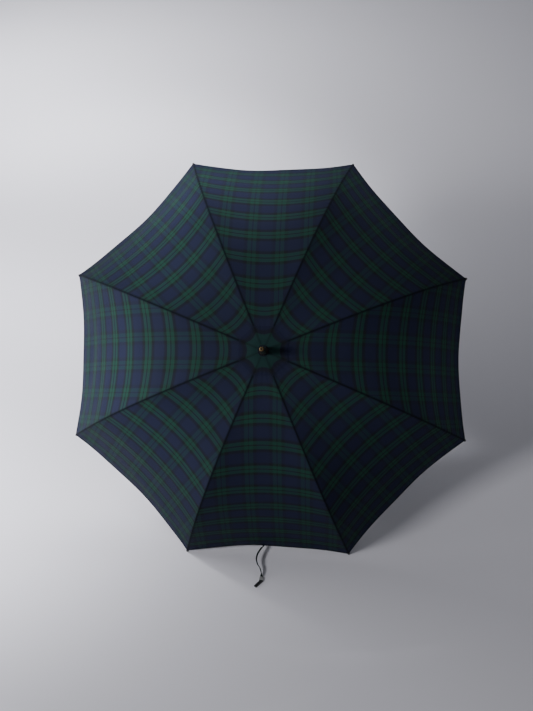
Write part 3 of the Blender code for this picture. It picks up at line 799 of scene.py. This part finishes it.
def add_crown_disc(material):
    """The gathered disc in the middle of the crown cap, under the ferrule."""
    profile = [
        (0.0055, 0.00615), (0.0070, 0.00625), (0.0085, 0.00630), (0.0095, 0.00665), (0.0110, 0.00690),
        (0.0124, 0.00690), (0.0128, 0.00610), (0.0200, 0.00600), (0.0200, 0.00555), (0.0055, 0.00555),
    ]

    def gathers(radius, turn):
        return BULGE_HIGH * math.sin(BULGES * turn) * max(0.0, 1 - abs(radius - BULGE_AT) / BULGE_WIDE)

    mesh = turned_mesh("crown_disc", profile, DISC_SIDES, gathers)
    thread_by_radius(mesh)
    mesh.transform(SHAFT)
    piece = add_piece("crown_disc", mesh, material, "frame", ["crown_cap"])


# --- stick parts ---


def add_ferrule(wood, brass):
    """The ferrule's turned wood, and the metal cap round its end."""
    top = FERRULE_TIP
    foot = FERRULE_TIP - 0.012
    base = FERRULE_BASE
    turning = [
        (0, top - 0.0012), (0.0015, top - 0.0011), (0.0019, top - 0.0014), (0.0019, foot),
        (0.0048, foot - 0.0001), (0.00500, foot - 0.0006), (0.0054, 0.069), (0.0061, 0.058),
        (0.0068, 0.045), (0.0074, 0.030), (0.0079, 0.0175), (0.0081, 0.0150), (0.0079, 0.0146),
        (0.0079, 0.0140), (0.0084, 0.0135), (0.0087, 0.0118), (0.0087, 0.0098), (0.0084, 0.0082),
        (0.0082, base + 0.0007), (0.0078, base + 0.0001), (0.0053, base + 0.0001),
        (0.0053, 0.0463), (0, 0.0463),
    ]
    cap = [
        (0.0022, top - 0.0002), (0.0024, top), (0.0035, top), (0.0039, top - 0.0003),
        (0.0040, top - 0.0009), (0.0041, top - 0.0040), (0.0040, top - 0.0044), (0.0043, top - 0.0048),
        (0.0048, foot + 0.0004), (0.0046, foot + 0.0002), (0.0022, foot + 0.0002),
    ]
    mesh = turned_mesh("ferrule_turning", turning)
    mesh.transform(SHAFT)
    add_piece("ferrule_turning", mesh, wood, "frame", ["ferrule"])
    mesh = turned_mesh("ferrule_cap", cap)
    mesh.transform(SHAFT)
    add_piece("ferrule_cap", mesh, brass, "frame", ["ferrule_ring"])


BAR_SIDES = 48
CROOK_STEPS = 40
NOSE_STEPS = 8
NOSE_ROUND = 0.0065
NOSE_NARROWS = 0.62


def sweep_mesh(name, stations):
    """A round bar through (centre, across, radius) stations. across is square to the bar's run."""
    bm = bmesh.new()
    side = Vector((0, 1, 0))
    turns = [2 * math.pi * i / BAR_SIDES for i in range(BAR_SIDES)]
    rings = []
    for centre, across, radius in stations:
        rim = [centre + radius * (math.cos(turn) * across + math.sin(turn) * side) for turn in turns]
        rings.append([bm.verts.new(point) for point in rim])
    join_rings(bm, zip(rings, rings[1:]))
    bm.faces.new(rings[0])
    bm.faces.new(rings[-1])
    return smooth_mesh(bm, name)


def add_handle(wood):
    """The crook: a grip under the collar, a half turn and a rounded nose."""
    across = Vector((1, 0, 0))
    grip = [(0.0004, 0.0094), (0.0147, 0.0094), (0.0148, 0.0104), (0.0156, 0.0109), (0.0170, HANDLE_RADIUS)]
    grip += [(HANDLE_STRAIGHT * part, HANDLE_RADIUS) for part in (0.3, 0.5, 0.75, 1.0)]
    stations = [(Vector((0, 0, HANDLE_TOP - down)), across, radius) for down, radius in grip]
    bend = HANDLE_TOP - HANDLE_STRAIGHT
    for i in range(1, CROOK_STEPS + 1):
        turn = math.pi * i / CROOK_STEPS
        centre = Vector((CROOK_RADIUS * (1 - math.cos(turn)), 0, bend - CROOK_RADIUS * math.sin(turn)))
        stations.append((centre, Vector((math.cos(turn), 0, math.sin(turn))), HANDLE_RADIUS))
    for i in range(NOSE_STEPS + 1):
        turn = math.pi / 2 * i / NOSE_STEPS
        up = CROOK_NOSE - NOSE_ROUND * (1 - math.sin(turn))
        less = HANDLE_RADIUS * NOSE_NARROWS * (1 - math.cos(turn))
        stations.append((Vector((2 * CROOK_RADIUS, 0, bend + up)), -across, HANDLE_RADIUS - less))
    mesh = sweep_mesh("crook", stations)
    mesh.transform(SHAFT)
    add_piece("crook", mesh, wood, "frame", ["handle"])


TIP_BALL = 0.0030
TIP_BALL_AT = 0.0010
TIP_STEPS = 8
TIP_SIDES = 40


def add_tips(plastic):
    """The rib tips: ball-ended caps with a neck and a socket for the rib."""
    profile = [(0, TIP_BALL_AT + TIP_BALL)]
    for i in range(1, TIP_STEPS + 1):
        turn = math.pi / 2 * i / TIP_STEPS
        profile.append((TIP_BALL * math.sin(turn), TIP_BALL_AT + TIP_BALL * math.cos(turn)))
    profile += [
        (0.00285, -0.0005), (0.0024, -0.0016), (0.0023, -0.0030), (0.0025, -0.0040), (0.0026, -0.0052),
        (0.0025, -0.0092), (0.0023, -0.0099), (0.0021, -0.0100), (0.0021, -0.0027), (0, -0.0027),
    ]
    tip = turned_mesh("tip", profile, TIP_SIDES)
    radius, height, angle, _ = (float(value) for value in rib_line(RIB_LENGTH))
    tip.transform(Matrix.Translation((radius, 0, height)) @ Matrix.Rotation(math.pi / 2 + angle, 4, "Y"))
    for number in range(RIBS):
        name = f"tip_cap_{number + 1}"
        mesh = tip.copy()
        mesh.transform(in_rib_frame(number))
        replaced = [f"rib_tip_{number + 1}"]
        add_piece(name, mesh, plastic, f"rib_{number + 1}_outer", replaced)


# --- the tie strap ---

# Where the strap hangs, its width lies along this direction. Where it is flat, its width is level.
STRAP_LEAN = Vector((0.16, -0.74, 0.65))

# Half widths and thicknesses of the strap, its end and its clasp.
STRAP_BAND = (0.0040, 0.0015)
END_BAND = (0.0030, 0.0024)
CLASP_BAND = (0.0046, 0.0022)

# The part of the strap's route that the clasp is on, and the way that the strap's end points.
CLASP_RUN = slice(-12, -3)
END_HEADING = Vector((-0.62, -0.785, 0))

# The end's stations: metres beyond the strap, and height above it.
END_STATIONS = ((-0.001, 0.0002), (0.008, 0.0004), (0.019, 0.0003))

# A band's eight corners: the share of its half width, and the face. Its two edges are a little thicker.
BAND_CORNERS = ((-1, -1), (-0.8, -1), (0.8, -1), (1, -1), (1, 1), (0.8, 1), (-0.8, 1), (-1, 1))
BAND_EDGE = 1.25

# Where in the tartan a band is cut, and its corners' places across the cut as shares of its half width.
BAND_CUT = 0.022
BAND_THREADS = (-0.8, -0.6, 0.6, 0.8, 0.8, 0.6, -0.6, -0.8)


def strap_stations():
    """(centre, how flat it lies from 0 to 1) down the strap."""
    _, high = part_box("strap")
    start = Vector((high[0] - 0.0030, high[1] - 0.0004, 0))
    steps = [
        (0.0000, 0.0019, 0.0140, 0.00), (0.0000, -0.0033, 0.0150, 0.00), (-0.0040, -0.0113, 0.0165, 0.00),
        (-0.0100, -0.0262, 0.0180, 0.00), (-0.0125, -0.0410, 0.0175, 0.00), (-0.0100, -0.0538, 0.0150, 0.00),
        (-0.0050, -0.0616, 0.0120, 0.00), (-0.0020, -0.0685, 0.0090, 0.00), (-0.0002, -0.0762, 0.0060, 0.20),
        (0.0000, -0.0842, 0.0034, 0.80), (-0.0012, -0.0918, 0.0016, 1.00),
    ]
    return [(start + Vector((x, y, z)), flat) for x, y, z, flat in steps]


def smooth_route(stations, pieces=8):
    """Catmull-Rom points through stations of (Vector, value)."""
    rows = [np.array([*point, value]) for point, value in stations]
    rows = [2 * rows[0] - rows[1], *rows, 2 * rows[-1] - rows[-2]]
    found = []
    for a, b, c, d in zip(rows, rows[1:], rows[2:], rows[3:]):
        square = 2 * a - 5 * b + 4 * c - d
        cube = 3 * b - a - 3 * c + d
        for i in range(pieces):
            t = i / pieces
            found.append(0.5 * (2 * b + (c - a) * t + square * t**2 + cube * t**3))
    found.append(rows[-2])
    return [(Vector(row[:3]), float(row[3])) for row in found]


def band_mesh(name, route, half_width, thickness):
    """A flat band along a route of (centre, how flat it lies), and its length."""
    bm = bmesh.new()
    rings, lengths = [], []
    length = 0.0
    for i, (point, flat) in enumerate(route):
        before, after = route[max(i - 1, 0)][0], route[min(i + 1, len(route) - 1)][0]
        if i:
            length += (point - route[i - 1][0]).length
        lengths.append(length)
        along = (after - before).normalized()
        level = along.cross(STRAP_LEAN.lerp(Vector((0, 0, 1)), flat)).normalized()
        standing = level.cross(along)
        turn = flat * math.pi / 2
        across = math.cos(turn) * standing + math.sin(turn) * level
        face = along.cross(across)
        ring = []
        for side, rise in BAND_CORNERS:
            edge = BAND_EDGE if abs(side) == 1 else 1.0
            corner = point + side * half_width * across + rise * edge * thickness / 2 * face
            ring.append(bm.verts.new(corner))
        rings.append(ring)
    join_rings(bm, zip(rings, rings[1:]))
    bm.faces.new(rings[0])
    bm.faces.new(rings[-1])
    mesh = smooth_mesh(bm, name, sharp=50)
    layer = mesh.uv_layers.new(name="thread")
    for loop in mesh.loops:
        ring, corner = divmod(loop.vertex_index, len(BAND_CORNERS))
        layer.data[loop.index].uv = (BAND_CUT + BAND_THREADS[corner] * half_width, lengths[ring])
    mesh.attributes.new("seams_and_shade", "FLOAT", "POINT")
    return mesh, length


def add_strap(cloth, plastic, metal):
    """The tie strap, its end piece and the clasp before that."""
    route = smooth_route(strap_stations())
    mesh, length = band_mesh("tie_strap", route, *STRAP_BAND)
    strap = add_piece("tie_strap", mesh, cloth, "rib_6_outer", ["strap"])
    fold(strap)
    end, _ = route[-1]
    stations = [(end + END_HEADING * beyond + Vector((0, 0, rise)), 1.0) for beyond, rise in END_STATIONS]
    mesh, _ = band_mesh("tie_end", smooth_route(stations, 4), *END_BAND)
    tab = add_piece("tie_end", mesh, plastic, "rib_6_outer", ["strap_end"])
    fold(tab)
    mesh, _ = band_mesh("tie_clasp", route[CLASP_RUN], *CLASP_BAND)
    clasp = add_piece("tie_clasp", mesh, metal, "rib_6_outer")
    fold(clasp)


# --- the whole scene ---


def paint_frame(materials):
    """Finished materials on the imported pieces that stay."""
    slots = {part["node"]: part["material_slot"] for part in frame["record"]["subparts"]}
    for name, obj in frame["nodes"].items():
        material = materials[slots[name]]
        obj.data.materials.clear()
        obj.data.materials.append(material)


def main():
    add_camera()
    add_studio()
    cloth = cover_material("cover_cloth")
    cap_cloth = cover_material("cap_cloth", shade=0.85, line=GREEN)
    # The strap's cloth is the cover's tartan made much darker: partly a darker cloth and partly painted
    # shade for the edge-on, shadowed band.
    dark_and_shaded_strap_cloth = cover_material("dark_and_shaded_strap_cloth", shade=0.45)
    handle_wood = wood_material("handle_wood", (0.110, 0.048, 0.022), (0.030, 0.012, 0.006), 0.32, 0.5)
    ferrule_wood = wood_material("ferrule_wood", (0.030, 0.016, 0.010), (0.010, 0.006, 0.004), 0.34, 0.4)
    shaft_wood = wood_material("shaft_wood", (0.30, 0.17, 0.085), (0.16, 0.080, 0.036), 0.38, 0.35)
    black = plastic_material("tip_plastic", (0.012, 0.012, 0.013), 0.38)
    brass = metal_material("ring_brass", (0.22, 0.15, 0.070), 0.5)
    steel = metal_material("rib_steel", (0.040, 0.040, 0.043), 0.38, 0.85)
    wire = metal_material("spring_wire", (0.55, 0.55, 0.56), 0.28)
    clasp_steel = metal_material("clasp_steel", (0.42, 0.42, 0.43), 0.5, 0.5)
    paint_frame({
        "cover": cloth, "steel": steel, "wire": wire, "brass": brass, "dark_wood": handle_wood,
        "shaft_wood": shaft_wood, "black_plastic": black, "strap": felt_material(),
    })
    add_cover(cloth)
    add_crown(cap_cloth)
    add_crown_disc(cap_cloth)
    add_ferrule(ferrule_wood, brass)
    add_handle(handle_wood)
    add_tips(black)
    add_strap(dark_and_shaded_strap_cloth, black, clasp_steel)


main()
